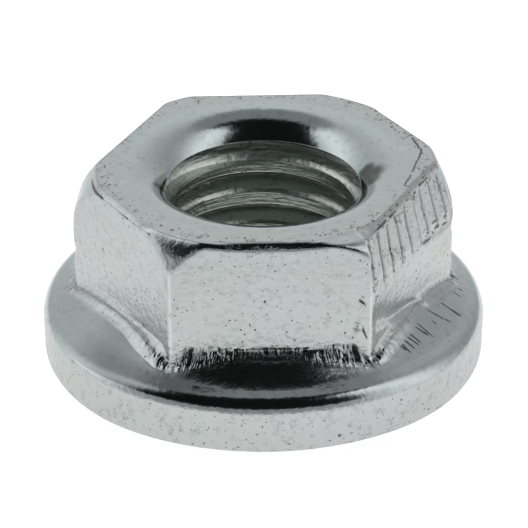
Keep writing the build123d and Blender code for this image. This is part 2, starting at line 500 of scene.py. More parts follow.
def bore_rows(turn):
    """Helical rows up the bore, each at one phase of the thread, squeezed up at both ends."""
    crest = CREST_HEIGHT - PITCH * CREST_TURN / TURN
    first = crest - (math.ceil((crest - THREAD_FOOT) / PITCH) + 1) * PITCH
    count = math.ceil((THREAD_TOP - first) / PITCH)
    steps = np.array([lap + phase for lap in range(count) for phase in PHASES])[:, None]
    climb = first + PITCH * (steps + turn / TURN)
    z = np.clip(climb, THREAD_FOOT, THREAD_TOP)
    z = z + END_SQUEEZE * (climb - z)
    entry = np.clip(z - ENTRY_START, 0, UNDERCUT_RADIUS - BORE_RADIUS)
    floor = np.maximum(COUNTERSINK_RADIUS - z, BORE_RADIUS + entry)
    tilt = THREAD_TILT * BORE_RADIUS * np.cos(turn) * smooth(*TILT_FOOT, z) * smooth(*TILT_TOP, z)
    return place(turn, BORE_RADIUS, z + tilt), steps % 1, floor


# ---------------------------------------------------------------- the closed shell
class Shell:
    """Collects rows of points with named values, and the faces that join the rows."""

    def __init__(self):
        self.points = []
        self.values = {}
        self.faces = []
        self.count = 0

    def add(self, rows, **values):
        """Adds rows of points, each with its named values, and returns their numbers."""
        shape = rows.shape[:-1]
        numbers = self.count + np.arange(math.prod(shape)).reshape(shape)
        self.points.append(rows.reshape(-1, 3))
        for name, value in values.items():
            spread = np.broadcast_to(value, shape).reshape(-1)
            self.values.setdefault(name, []).append((self.count, spread))
        self.count += numbers.size
        return numbers

    def join(self, near, far):
        """Joins two rings. One may have twice the other's points."""
        flip = len(near) > len(far)
        if flip:
            near, far = far, near
        after = np.roll(near, -1)
        if len(far) == len(near):
            faces = np.stack([near, far, np.roll(far, -1), after], -1).tolist()
        else:
            even, odd = far[0::2], far[1::2]
            faces = np.stack([near, even, odd], -1).tolist()
            faces += np.stack([near, odd, after], -1).tolist()
            faces += np.stack([after, odd, np.roll(even, -1)], -1).tolist()
        self.faces += [face[::-1] for face in faces] if flip else faces

    def chain(self, *blocks):
        """Joins blocks of rings, ring after ring."""
        rings = [ring for block in blocks for ring in block]
        for near, far in zip(rings[:-1], rings[1:]):
            self.join(near, far)

    def wind(self, below, rows, above):
        """Joins helical rows to each other, and to a ring below them and one above.
        Past its last column, a row goes on as the row one pitch above it."""
        lap = len(PHASES)
        for low, high in zip([below, *rows], [*rows, above]):
            self.faces += np.stack([low[:-1], high[:-1], high[1:], low[1:]], -1).tolist()
        seam = zip(rows[:-lap - 1, -1], rows[1:-lap, -1], rows[lap + 1:, 0], rows[lap:-1, 0])
        self.faces += [list(face) for face in seam]
        self.faces.append([below[-1], rows[0, -1], *rows[lap::-1, 0], below[0]])
        self.faces.append([*rows[-lap - 1:, -1], above[-1], above[0], rows[-1, 0]])

    def mesh(self, name, warp):
        """The finished mesh, with the named values as point attributes."""
        made = bpy.data.meshes.new(name)
        made.from_pydata((warp(np.concatenate(self.points)) * MM).tolist(), [], self.faces)
        for key, parts in self.values.items():
            data = np.zeros(self.count, np.float32)
            for start, spread in parts:
                data[start:start + len(spread)] = spread
            made.attributes.new(key, "FLOAT", "POINT").data.foreach_set("value", data)
        made.shade_smooth()
        return made


def settle(points):
    """What the forging did to the whole: its top leans, its rim is thicker at -Y and out of round."""
    x, y, z = points.T
    turn = np.arctan2(y, x)
    radius = np.hypot(x, y)
    front = smooth(*LIFT_FRONT, y / radius)
    lift = RIM_LIFT * front * smooth(*LIFT_HEIGHT, z) * smooth(*LIFT_RADIUS, radius)
    sink = TOP_TILT * (APOTHEM - y) * smooth(TILT_HEIGHT, NUT_HEIGHT, z)
    for across, back, size, deep in DENTS:
        away = ((x - across) ** 2 + (y - back) ** 2) / size**2
        sink = sink + deep * np.exp(-2 * away) * smooth(DENT_HEIGHT, NUT_HEIGHT, z)
    swell = sum(far * np.exp(-(turn_gap(turn, angle) / wide) ** 2) for angle, wide, far in BULGES)
    wider = 1 + swell * smooth(*BULGE_RADIUS, radius) / FLANGE_RADIUS
    return np.stack([x * wider, y * wider, z + lift - sink], -1)


def side_marks(rows):
    """For the side's points: the place along the flat, and how dragged, near a corner and scored each is.
    Near a corner, a highlight is painted.
    """
    outward, off = flat_place(np.arctan2(rows[..., 1], rows[..., 0]))
    across = APOTHEM * np.tan(off)
    corner = CORNER_REACH * (SECTOR / 2 - np.abs(off))
    return {
        "across": across,
        "dragged": (outward == DRAGGED_FLAT) * smooth(0.05, 0.3, corner),
        "corner": np.exp(-(corner / CORNER_GLINT) ** 2),
        "scored": scored_flats(rows, outward, across),
    }


def crimp(rows):
    """How strongly the fold is crimped: most along the front and near the corners."""
    outward, off = flat_place(np.arctan2(rows[..., 1], rows[..., 0]))
    strong = np.where(outward == FRONT_FLAT, 1.0, SIDE_CRIMP)
    calm = np.where(outward == FRONT_FLAT, 0.0, SIDE_CRIMP)
    return strong * (1 - calm * smooth(*CRIMP_ENDS, np.abs(APOTHEM * np.tan(off))))


def stained(rows):
    """How dark the funnel is painted at each of its points, from 0 to 1."""
    depth = np.zeros(rows.shape[:-1])
    for angle, radius, size in FUNNEL_DARK_PATCHES:
        turn = math.radians(angle)
        away = np.hypot(rows[..., 0] - radius * math.cos(turn), rows[..., 1] - radius * math.sin(turn))
        depth = np.maximum(depth, np.exp(-((away / size) ** 2)))
    return depth


def scuffed_land(rows):
    """How scuffed the land is at each of its points."""
    worn = np.full(rows.shape[:-1], LAND_WEAR)
    for across, back, size in SCUFFS:
        away = ((rows[..., 0] - across) ** 2 + (rows[..., 1] - back) ** 2) / size**2
        worn = np.maximum(worn, SCUFF_WEAR * np.exp(-away))
    return worn


def near_line(points, start, end):
    """How near each point is to the line between two others: 1 on it, 0 past a score's width."""
    run = np.subtract(end, start)
    share = np.clip(((points - start) @ run) / (run @ run), 0, 1)
    off = np.linalg.norm(points - start - share[..., None] * run, axis=-1)
    return np.exp(-((off / SCORE_WIDTH) ** 2))


def scored_slope(rows):
    """How deep in a score each of the slope's points lies, from 0 to 1."""
    gap = turn_gap(np.arctan2(rows[..., 1], rows[..., 0]), DRAGGED_FLAT)
    spot = np.stack([gap * SCORE_ARC, np.hypot(rows[..., 0], rows[..., 1])], -1)
    depth = np.zeros(rows.shape[:-1])
    for top, foot, top_radius, foot_radius in SCORES:
        start = ((top - DRAGGED_FLAT) * SCORE_ARC, top_radius)
        end = ((foot - DRAGGED_FLAT) * SCORE_ARC, foot_radius)
        depth = np.maximum(depth, near_line(spot, start, end))
    return depth


def scored_flats(rows, outward, across):
    """How deep in a score each of the flats' points lies, from 0 to 1."""
    spot = np.stack([across, rows[..., 2]], -1)
    depth = np.zeros(outward.shape)
    for flat, *run in FLAT_SCORES:
        depth = np.maximum(depth, np.where(outward == flat, near_line(spot, run[:2], run[2:]), 0.0))
    return depth


def add_bore(shell, turns):
    """Adds the countersink's upper ring, the bore's helical rows and the lip."""
    sink = shell.add(place(turns, COUNTERSINK_RADIUS - SINK_STEP, np.array([[SINK_STEP]])))
    rows, phase, floor = bore_rows(turns)
    # Painted highlights: bright lines along the crests' edges and the lip's edge.
    crest_edge = np.isclose(phase, 0) | np.isclose(phase, CREST_SHARE)
    bore = shell.add(rows, thread=1.0, thread_phase=phase, thread_floor=floor, corner=EDGE_GLINT * crest_edge)
    lip = shell.add(lip_rows(turns), thread=0.5, corner=np.array([[0], [0], [0], [EDGE_GLINT]]))
    return sink, bore, lip


def add_top(shell):
    """Adds the funnel and the land. Their columns go over from an even spread to the side's."""
    front = smooth(0, 1, np.arange(FUNNEL_ROWS + LAND_ROWS) / (FUNNEL_ROWS + LAND_ROWS - 1))
    funnel = funnel_rows(columns(RING, front[:FUNNEL_ROWS]))
    funnel = shell.add(funnel, polish=1.0, stained=stained(funnel))
    out = np.arange(1, LAND_ROWS + 1) / LAND_ROWS
    corner = smooth(0, 1, out)
    front = front[FUNNEL_ROWS:]
    half = LAND_ROWS // 2
    inner = land_rows(columns(RING, front[:half], corner[:half]), out[:half])
    outer = land_rows(columns(SIDE, front[half:], corner[half:]), out[half:])
    skin = out[:half, None]
    inner = shell.add(inner, skin=skin, polish=1 - (1 - LAND_POLISH) * skin, scuffed=scuffed_land(inner))
    outer = shell.add(outer, skin=1.0, polish=LAND_POLISH, scuffed=scuffed_land(outer))
    return funnel, inner, outer


def add_side(shell, rows, turns):
    """Adds the side: rolled smooth near the land and where the crown rounds the corners over."""
    z = rows[..., 2]
    marks = side_marks(rows)
    undragged = 1 - marks["dragged"]
    near_fold = smooth(CRIMP_HEIGHT, 0.0, z - rows[-1, :, 2]) * crimp(rows)
    inward = hexagon_radius(flat_place(turns)[1]) - np.hypot(rows[..., 0], rows[..., 1])
    rounded = smooth(*CROWN_INWARD, inward) * smooth(*CROWN_HEIGHT, z) * undragged
    polish = np.maximum(ROLLED_POLISH * smooth(*ROLLED_HEIGHT, z) * undragged, CROWN_POLISH * rounded)
    scuffed = EDGE_WEAR * smooth(*EDGE_WEAR_HEIGHT, z)
    scuffed = scuffed + DRAG_WEAR * marks["dragged"] * smooth(*DRAG_WEAR_HEIGHT, z)
    return shell.add(rows, skin=1 - 0.5 * rounded, fold=near_fold, polish=polish,
                     scuffed=scuffed * (1 - 0.8 * rounded), **marks)


def add_flange(shell, foot):
    """Adds the fold, the polished slope and the rim, outwards from the side's lowest ring."""
    down = smooth(1, 0, np.arange(1, FOLD_ROWS + SLOPE_ROWS + 1) / (FOLD_ROWS + SLOPE_ROWS))
    on_slope = np.arange(1, SLOPE_ROWS + 1) / SLOPE_ROWS
    part = SLOPE_ROWS // 2
    fold = fold_rows(columns(SIDE, 1, down[:FOLD_ROWS]), foot)
    upper = slope_rows(columns(SIDE, 1, down[FOLD_ROWS:-part]), fold[-1], on_slope[:-part])
    lower = slope_rows(columns(RING, 1, down[-part:]), fold[-1, ::2], on_slope[-part:])
    crimped = smooth(1.3, 0.2, np.arange(1, FOLD_ROWS + 1) / FOLD_ROWS)[:, None]
    blocks = [shell.add(fold, skin=1.0, fold=crimped * crimp(fold), polish=FOLD_POLISH)]
    for rows in (upper, lower):
        blocks.append(shell.add(rows, skin=SLOPE_SKIN, polish=SLOPE_POLISH, scored=scored_slope(rows)))
    rim = rim_rows()
    z = rim[..., 2]
    worn = smooth(RIM_HEIGHT - 0.9 * RIM_TOP_ROUND, RIM_HEIGHT - 0.4 * RIM_TOP_ROUND, z)
    skin = 1 - (1 - SLOPE_SKIN) * worn
    scuffed = RIM_WEAR * smooth(*RIM_WEAR_HEIGHT, z)
    blocks.append(shell.add(rim, skin=skin, polish=SLOPE_POLISH * worn, scuffed=scuffed))
    return blocks


def nut_blank():
    """The nut before its thread and serrations are cut, as one closed shell."""
    shell = Shell()
    sink, bore, lip = add_bore(shell, columns(BORE)[0])
    top = add_top(shell)
    turns = columns(SIDE, 1, 1)
    rows = side_rows(turns)
    side = add_side(shell, rows, turns)
    flange = add_flange(shell, rows[-1])
    tooth_turn, tooth_phase = tooth_turns()
    bearing = shell.add(bearing_rows(tooth_turn), tooth=1.0, tooth_phase=tooth_phase)
    shell.wind(sink[0], bore, lip[0])
    shell.chain(lip, *top, side, *flange, bearing, sink)
    return shell.mesh("flange_nut_blank", settle)


# ---------------------------------------------------------------- nodes
MATH = "ShaderNodeMath"
VECTOR = "ShaderNodeVectorMath"
NOISE = "ShaderNodeTexNoise"
RANGE = "ShaderNodeMapRange"
MIX = "ShaderNodeMix"
EASED = {"interpolation_type": "SMOOTHSTEP"}


def node(tree, kind, inputs=None, **settings):
    """Adds a node. inputs maps a socket to a value, an output or a node's first output."""
    made = tree.nodes.new(kind)
    for key, value in settings.items():
        setattr(made, key, value)
    for key, value in (inputs or {}).items():
        if isinstance(value, bpy.types.Node):
            value = next(socket for socket in value.outputs if socket.enabled)
        if isinstance(value, bpy.types.NodeSocket):
            tree.links.new(value, made.inputs[key])
        else:
            made.inputs[key].default_value = value
    return made


def shape_tree(name, sizes):
    """An empty Geometry Nodes tree with one named input for each size."""
    tree = bpy.data.node_groups.new(name, "GeometryNodeTree")
    tree.interface.new_socket("Geometry", in_out="INPUT", socket_type="NodeSocketGeometry")
    tree.interface.new_socket("Geometry", in_out="OUTPUT", socket_type="NodeSocketGeometry")
    for size in sizes:
        tree.interface.new_socket(size, in_out="INPUT", socket_type="NodeSocketFloat")
    return tree, node(tree, "NodeGroupInput")


def run_tree(piece, tree, moved, sizes, finish):
    """Ends the tree with real geometry in its material, and puts it on the piece."""
    real = node(tree, "GeometryNodeRealizeInstances", {"Geometry": moved})
    painted = node(tree, "GeometryNodeSetMaterial", {"Geometry": real, "Material": finish})
    node(tree, "NodeGroupOutput", {"Geometry": painted})
    modifier = piece.modifiers.new(tree.name, "NODES")
    modifier.node_group = tree
    for item in tree.interface.items_tree:
        if item.name in sizes:
            modifier[item.identifier] = sizes[item.name]


def shifted(tree, geometry, amount):
    """The geometry with each point moved out along its normal by an amount."""
    normal = node(tree, "GeometryNodeInputNormal")
    step = node(tree, VECTOR, {0: normal, "Scale": amount}, operation="SCALE")
    return node(tree, "GeometryNodeSetPosition", {"Geometry": geometry, "Offset": step})


def cut_thread(piece, finish):
    """Cuts the helical thread: each point moves out by its phase, and at least to the entries' reach."""
    sizes = {
        "Thread Depth": THREAD_DEPTH * MM,
        "Bore Radius": BORE_RADIUS * MM,
        "Crest Share": CREST_SHARE,
        "Flank Share": (1 - CREST_SHARE - ROOT_SHARE) / 2,
    }
    tree, given = shape_tree("tapped_thread", sizes)
    thread = node(tree, "GeometryNodeInputNamedAttribute", {"Name": "thread"})
    phase = node(tree, "GeometryNodeInputNamedAttribute", {"Name": "thread_phase"})
    floor = node(tree, "GeometryNodeInputNamedAttribute", {"Name": "thread_floor"})
    rise = node(tree, MATH, {0: phase, 1: given.outputs["Crest Share"]}, operation="SUBTRACT")
    fall = node(tree, MATH, {0: 1.0, 1: phase}, operation="SUBTRACT")
    nearer = node(tree, MATH, {0: rise, 1: fall}, operation="MINIMUM")
    share = node(tree, MATH, {0: nearer, 1: given.outputs["Flank Share"]}, operation="DIVIDE", use_clamp=True)
    cut = node(tree, MATH, {0: share, 1: given.outputs["Thread Depth"], 2: given.outputs["Bore Radius"]},
               operation="MULTIPLY_ADD")
    least = node(tree, MATH, {0: floor, 1: MM}, operation="MULTIPLY")
    radius = node(tree, MATH, {0: cut, 1: least}, operation="MAXIMUM")
    position = node(tree, "GeometryNodeInputPosition")
    across = node(tree, VECTOR, {0: position, 1: (1, 1, 0)}, operation="MULTIPLY")
    outward = node(tree, VECTOR, {0: across}, operation="NORMALIZE")
    further = node(tree, MATH, {0: radius, 1: given.outputs["Bore Radius"]}, operation="SUBTRACT")
    step = node(tree, VECTOR, {0: outward, "Scale": further}, operation="SCALE")
    moved = node(tree, "GeometryNodeSetPosition",
                 {"Geometry": given.outputs["Geometry"], "Selection": thread, "Offset": step})
    run_tree(piece, tree, moved, sizes, finish)


def press_serrations(piece, finish):
    """Presses the ratchet teeth: a steep face, a long ramp and a level crest, run out at both ends."""
    sizes = {
        "Tooth Depth": TOOTH_DEPTH * MM,
        "Ramp Share": 1 - TOOTH_CREST - TOOTH_STEEP,
        "Steep Share": TOOTH_STEEP,
        "Outer Radius": TOOTH_OUTER * MM,
        "Inner Radius": TOOTH_INNER * MM,
    }
    tree, given = shape_tree("pressed_serrations", sizes)
    tooth = node(tree, "GeometryNodeInputNamedAttribute", {"Name": "tooth"})
    phase = node(tree, "GeometryNodeInputNamedAttribute", {"Name": "tooth_phase"})
    position = node(tree, "GeometryNodeInputPosition")
    across = node(tree, VECTOR, {0: position, 1: (1, 1, 0)}, operation="MULTIPLY")
    radius = node(tree, VECTOR, {0: across}, operation="LENGTH").outputs["Value"]
    steep = node(tree, MATH, {0: phase, 1: given.outputs["Steep Share"]}, operation="DIVIDE")
    ramp_foot = node(tree, MATH, {0: given.outputs["Steep Share"], 1: given.outputs["Ramp Share"]},
                     operation="ADD")
    to_foot = node(tree, MATH, {0: ramp_foot, 1: phase}, operation="SUBTRACT")
    ramp = node(tree, MATH, {0: to_foot, 1: given.outputs["Ramp Share"]}, operation="DIVIDE", use_clamp=True)
    section = node(tree, MATH, {0: steep, 1: ramp}, operation="MINIMUM", use_clamp=True)
    growth = node(tree, MATH, {0: radius, 1: given.outputs["Outer Radius"]}, operation="DIVIDE")
    deep = node(tree, MATH, {0: section, 1: given.outputs["Tooth Depth"]}, operation="MULTIPLY")
    deep = node(tree, MATH, {0: deep, 1: growth}, operation="MULTIPLY")
    outer = node(tree, MATH, {0: given.outputs["Outer Radius"], 1: radius}, operation="SUBTRACT")
    inner = node(tree, MATH, {0: radius, 1: given.outputs["Inner Radius"]}, operation="SUBTRACT")
    run_out = node(tree, MATH, {0: outer, 1: inner}, operation="MINIMUM")
    run_out = node(tree, MATH, {0: run_out, 1: 0.0}, operation="MAXIMUM")
    lift = node(tree, MATH, {0: deep, 1: run_out}, operation="MINIMUM")
    step = node(tree, "ShaderNodeCombineXYZ", {"Z": lift})
    moved = node(tree, "GeometryNodeSetPosition",
                 {"Geometry": given.outputs["Geometry"], "Selection": tooth, "Offset": step})
    run_tree(piece, tree, moved, sizes, finish)


def fold_wrinkles(piece, finish):
    """Crimps the fold round the nut's foot with upright wrinkles, as the metal gathered there."""
    sizes = {"Wrinkle Depth": 0.09 * MM, "Wrinkle Pitch": 0.2 * MM, "Seed": 4.0}
    tree, given = shape_tree("fold_wrinkles", sizes)
    fold = node(tree, "GeometryNodeInputNamedAttribute", {"Name": "fold"})
    position = node(tree, "GeometryNodeInputPosition")
    flat = node(tree, VECTOR, {0: position, 1: (1, 1, 0.15)}, operation="MULTIPLY")
    times = node(tree, MATH, {0: 1.0, 1: given.outputs["Wrinkle Pitch"]}, operation="DIVIDE")
    around = node(tree, VECTOR, {0: flat, "Scale": times}, operation="SCALE")
    noise = node(tree, NOISE, {
        "Vector": around, "W": given.outputs["Seed"], "Scale": 1.0, "Detail": 1.0}, noise_dimensions="4D")
    crease = node(tree, RANGE, {"Value": noise, "From Min": 0.5, "From Max": 0.72}, **EASED)
    deep = node(tree, MATH, {0: crease, 1: given.outputs["Wrinkle Depth"]}, operation="MULTIPLY")
    deep = node(tree, MATH, {0: deep, 1: fold}, operation="MULTIPLY")
    into = node(tree, MATH, {0: deep, 1: -1.0}, operation="MULTIPLY")
    run_tree(piece, tree, shifted(tree, given.outputs["Geometry"], into), sizes, finish)


def drag_marks(piece, finish):
    """Scores the dragged flat with upright grooves that stop at one height in small burrs, and stores where
    the grooves are painted dark as shade.
    """
    sizes = {
        "Groove Spacing": 0.91 * MM,
        "Groove Width": 0.26 * MM,
        "Groove Depth": 0.11 * MM,
        "Groove Foot": 5.85 * MM,
        "Burr Height": 0.03 * MM,
    }
    tree, given = shape_tree("drag_marks", sizes)
    spacing = given.outputs["Groove Spacing"]
    across = node(tree, "GeometryNodeInputNamedAttribute", {"Name": "across"})
    dragged = node(tree, "GeometryNodeInputNamedAttribute", {"Name": "dragged"})
    position = node(tree, "GeometryNodeInputPosition")
    z = node(tree, "ShaderNodeSeparateXYZ", {0: position}).outputs["Z"]
    along = node(tree, MATH, {0: across, 1: MM, 2: GROOVE_SHIFT * MM}, operation="MULTIPLY_ADD")
    wander = node(tree, NOISE, {"Scale": GROOVE_WANDERS, "Detail": 0.0})
    along = node(tree, MATH, {0: wander, 1: GROOVE_WANDER * MM, 2: along}, operation="MULTIPLY_ADD")
    lap = node(tree, MATH, {0: along, 1: spacing}, operation="DIVIDE")
    lap = node(tree, MATH, {0: lap}, operation="FRACT")
    off = node(tree, MATH, {0: lap, 1: 0.5}, operation="SUBTRACT")
    off = node(tree, MATH, {0: off}, operation="ABSOLUTE")
    off = node(tree, MATH, {0: off, 1: spacing}, operation="MULTIPLY")
    half = node(tree, MATH, {0: given.outputs["Groove Width"], 1: 0.5}, operation="MULTIPLY")
    groove = node(tree, RANGE, {"Value": off, "From Min": half, "From Max": 0.0}, **EASED)
    up = node(tree, MATH, {0: z, 1: given.outputs["Groove Foot"]}, operation="SUBTRACT")
    above = node(tree, RANGE, {"Value": up, "From Min": 0.0, "From Max": GROOVE_END * MM}, **EASED)
    burr = node(tree, RANGE, {
        "Value": up, "From Min": BURR_RISE[0] * MM, "From Max": BURR_RISE[1] * MM}, **EASED)
    burr = node(tree, MATH, {0: burr, 1: above}, operation="SUBTRACT")
    out = node(tree, MATH, {0: burr, 1: given.outputs["Burr Height"]}, operation="MULTIPLY")
    into = node(tree, MATH, {0: above, 1: given.outputs["Groove Depth"]}, operation="MULTIPLY")
    total = node(tree, MATH, {0: out, 1: into}, operation="SUBTRACT")
    total = node(tree, MATH, {0: total, 1: groove}, operation="MULTIPLY")
    below_top = node(tree, RANGE, {
        "Value": z, "From Min": GROOVE_TOP[1] * MM, "From Max": GROOVE_TOP[0] * MM}, **EASED)
    dragged = node(tree, MATH, {0: below_top, 1: dragged}, operation="MULTIPLY")
    total = node(tree, MATH, {0: total, 1: dragged}, operation="MULTIPLY")
    # Painted shade: where the grooves are painted dark.
    groove_shade_mask = node(tree, MATH, {0: groove, 1: above}, operation="MULTIPLY")
    groove_shade_mask = node(tree, MATH, {0: groove_shade_mask, 1: dragged}, operation="MULTIPLY")
    stored = node(tree, "GeometryNodeStoreNamedAttribute", {
        "Geometry": given.outputs["Geometry"], "Name": "groove", "Value": groove_shade_mask},
        data_type="FLOAT", domain="POINT")
    run_tree(piece, tree, shifted(tree, stored, total), sizes, finish)


def forged_surface(piece, finish):
    """Leaves the forged faces a little uneven, only ever into the metal."""
    sizes = {"Wave Depth": 0.032 * MM, "Wave Size": 1.4 * MM, "Seed": 2.0}
    tree, given = shape_tree("forged_surface", sizes)
    skin = node(tree, "GeometryNodeInputNamedAttribute", {"Name": "skin"})
    times = node(tree, MATH, {0: 1.0, 1: given.outputs["Wave Size"]}, operation="DIVIDE")
    noise = node(tree, NOISE, {
        "W": given.outputs["Seed"], "Scale": times, "Detail": 2.0}, noise_dimensions="4D")
    deep = node(tree, MATH, {0: noise, 1: given.outputs["Wave Depth"]}, operation="MULTIPLY")
    deep = node(tree, MATH, {0: deep, 1: skin}, operation="MULTIPLY")
    into = node(tree, MATH, {0: deep, 1: -1.0}, operation="MULTIPLY")
    run_tree(piece, tree, shifted(tree, given.outputs["Geometry"], into), sizes, finish)


def make_plain(piece):
    """Turns the piece's shaped result into a plain mesh and takes the trees off it."""
    shaped = piece.evaluated_get(bpy.context.evaluated_depsgraph_get())
    mesh = bpy.data.meshes.new_from_object(shaped)
    piece.modifiers.clear()
    piece.data = mesh
    mesh.name = piece.name


# ---------------------------------------------------------------- the finish
# The values on the mesh's points that the finish reads.
MARKS = ("thread", "thread_phase", "polish", "scuffed", "fold", "scored", "groove", "stained", "corner")
# Pits: their spacing in millimetres, their reach as a share of it, and how the cells are stretched.
PITS = ((0.27, 0.14, (1, 1, 1)), (0.9, 0.09, (1, 1, 1)), (0.2, 0.1, (2.5, 2.5, 1)))
# The size of the plating's creases, and the pitch of the fold's ticks at the fold's radius.
CREASE = 0.34
TICK_PITCH = 0.2
FOLD_RADIUS = 8
# Where the shade painted on the slope has its middle, and how far it reaches.
SLOPE_SHADE_SPOT = (-4.9 * MM, -6.6 * MM, 2.3 * MM)
SLOPE_SHADE_REACH = 4.6 * MM


def linear(hex_colour):
    """A colour written as sRGB hex, in linear light, with alpha 1."""
    parts = [int(hex_colour[i:i + 2], 16) / 255 for i in (1, 3, 5)]
    return [c / 12.92 if c <= 0.04045 else ((c + 0.055) / 1.055) ** 2.4 for c in parts] + [1]


def scaled(tree, spot, size, stretch=(1, 1, 1)):
    """Object coordinates counted in pieces of a size in millimetres, stretched along each axis."""
    count = [1 / (size * MM * part) for part in stretch]
    return node(tree, VECTOR, {0: spot, 1: count}, operation="MULTIPLY")


def pits(tree, spot, size, reach, more, stretch):
    """Small ragged pits: one at most in each cell of a size in millimetres, larger where more is high."""
    ragged = node(tree, NOISE, {"Vector": scaled(tree, spot, size / 3), "Scale": 1.0})
    patches = node(tree, NOISE, {"Vector": scaled(tree, spot, size * 6), "Scale": 1.0})
    cells = node(tree, "ShaderNodeTexVoronoi", {"Vector": scaled(tree, spot, size, stretch), "Scale": 1.0})
    ragged = node(tree, MATH, {0: ragged, 1: 1.4, 2: -0.2}, operation="MULTIPLY_ADD")
    ragged = node(tree, MATH, {0: patches, 1: 1.8, 2: ragged}, operation="MULTIPLY_ADD")
    off = node(tree, MATH, {0: ragged, 1: reach, 2: cells.outputs["Distance"]}, operation="MULTIPLY_ADD")
    off = node(tree, MATH, {0: more, 1: -reach, 2: off}, operation="MULTIPLY_ADD")
    return node(tree, RANGE, {"Value": off, "From Min": reach * 2.3, "From Max": reach * 1.7}, **EASED)


def pitting(tree, spot, marks):
    """Every size of pit together: more of them where the nut is scuffed, none where it is polished."""
    pitted = 0.0
    for size, reach, stretch in PITS:
        found = pits(tree, spot, size, reach, marks["scuffed"], stretch)
        pitted = node(tree, MATH, {0: pitted, 1: found}, operation="MAXIMUM")
    dull = node(tree, RANGE, {"Value": marks["polish"], "From Min": 1.0, "From Max": 0.3}, **EASED)
    return node(tree, MATH, {0: pitted, 1: dull}, operation="MULTIPLY")


def skin_creases(tree, spot, marks, mottle):
    """Short curled creases in the plating, gathered where it is mottled and worn. They sink into the bump and
    are painted dark as shade.
    """
    curl = node(tree, NOISE, {"Vector": scaled(tree, spot, CREASE), "Scale": 1.0, "Detail": 2.0})
    patches = node(tree, NOISE, {"Vector": scaled(tree, spot, CREASE * 3), "Scale": 1.0, "Detail": 1.0})
    off = node(tree, MATH, {0: curl, 1: 0.5}, operation="SUBTRACT")
    off = node(tree, MATH, {0: off}, operation="ABSOLUTE")
    curled = node(tree, RANGE, {"Value": off, "From Min": 0.04, "From Max": 0.012}, **EASED)
    gathered = node(tree, RANGE, {"Value": patches, "From Min": 0.46, "From Max": 0.6}, **EASED)
    mottled = node(tree, RANGE, {"Value": mottle, "From Min": 0.42, "From Max": 0.58}, **EASED)
    worn = node(tree, MATH, {0: marks["scuffed"], 1: 2.5, 2: 0.15}, operation="MULTIPLY_ADD", use_clamp=True)
    dull = node(tree, RANGE, {"Value": marks["polish"], "From Min": 1.0, "From Max": 0.5}, **EASED)
    for share in (gathered, mottled, worn, dull):
        curled = node(tree, MATH, {0: curled, 1: share}, operation="MULTIPLY")
    return curled


def fold_ticks(tree, spot, marks):
    """Short ticks down the crimped fold, which waver and come in groups. They sink into the bump, and are
    painted dark as shade in the crimps.
    """
    waver = node(tree, NOISE, {"Vector": scaled(tree, spot, 0.5), "Scale": 1.0, "Detail": 1.0})
    bent = node(tree, VECTOR, {0: waver.outputs["Color"], "Scale": 0.7}, operation="SCALE")
    level = node(tree, VECTOR, {0: spot, 1: (1, 1, 0)}, operation="MULTIPLY")
    around = node(tree, VECTOR, {0: level}, operation="NORMALIZE")
    around = node(tree, VECTOR, {0: around, "Scale": FOLD_RADIUS / TICK_PITCH}, operation="SCALE")
    around = node(tree, VECTOR, {0: bent, 1: around}, operation="ADD")
    ticks = node(tree, NOISE, {"Vector": around, "Scale": 1.0, "Detail": 2.0, "Roughness": 0.8})
    ticks = node(tree, RANGE, {"Value": ticks, "From Min": 0.45, "From Max": 0.6}, **EASED)
    groups = node(tree, RANGE, {"Value": waver, "From Min": 0.3, "From Max": 0.5}, **EASED)
    ticks = node(tree, MATH, {0: ticks, 1: groups}, operation="MULTIPLY")
    return node(tree, MATH, {0: ticks, 1: marks["fold"]}, operation="MULTIPLY")


def land_scores(tree, spot):
    """1 in each of the land's scores, which waver a little off their lines."""
    waver = node(tree, NOISE, {"Vector": scaled(tree, spot, 0.25), "Scale": 1.0, "Detail": 2.0})
    waver = node(tree, VECTOR, {0: waver.outputs["Color"], "Scale": SCORE_WAVER}, operation="SCALE")
    spot = node(tree, VECTOR, {0: scaled(tree, spot, 1), 1: waver}, operation="ADD")
    nearest = 1.0
    for across, back, far_across, far_back in LAND_SCORES:
        start = np.array([across + SCORE_WAVER / 2, back + SCORE_WAVER / 2, NUT_HEIGHT - 0.02])
        run = np.array([far_across - across, far_back - back, 0.0])
        gone = node(tree, VECTOR, {0: spot, 1: tuple(start)}, operation="SUBTRACT")
        share = node(tree, VECTOR, {0: gone, 1: tuple(run / (run @ run))}, operation="DOT_PRODUCT")
        share = node(tree, MATH, {0: share.outputs["Value"], 1: 0.0}, operation="ADD", use_clamp=True)
        foot = node(tree, VECTOR, {0: tuple(run), "Scale": share}, operation="SCALE")
        off = node(tree, VECTOR, {0: gone, 1: foot}, operation="DISTANCE").outputs["Value"]
        nearest = node(tree, MATH, {0: off, 1: nearest}, operation="MINIMUM")
    return node(tree, RANGE, {"Value": nearest, "From Min": 0.075, "From Max": 0.02}, **EASED)


def painted_slope_shade(tree, spot, marks):
    """Painted shade on one side of the polished slope, which dims its reflection there."""
    away = node(tree, VECTOR, {0: spot, 1: SLOPE_SHADE_SPOT}, operation="DISTANCE").outputs["Value"]
    near = node(tree, RANGE, {"Value": away, "From Min": SLOPE_SHADE_REACH, "From Max": SLOPE_SHADE_REACH / 3}, **EASED)
    polished = node(tree, RANGE, {"Value": marks["polish"], "From Min": 0.8, "From Max": 0.9}, **EASED)
    return node(tree, MATH, {0: near, 1: polished}, operation="MULTIPLY")


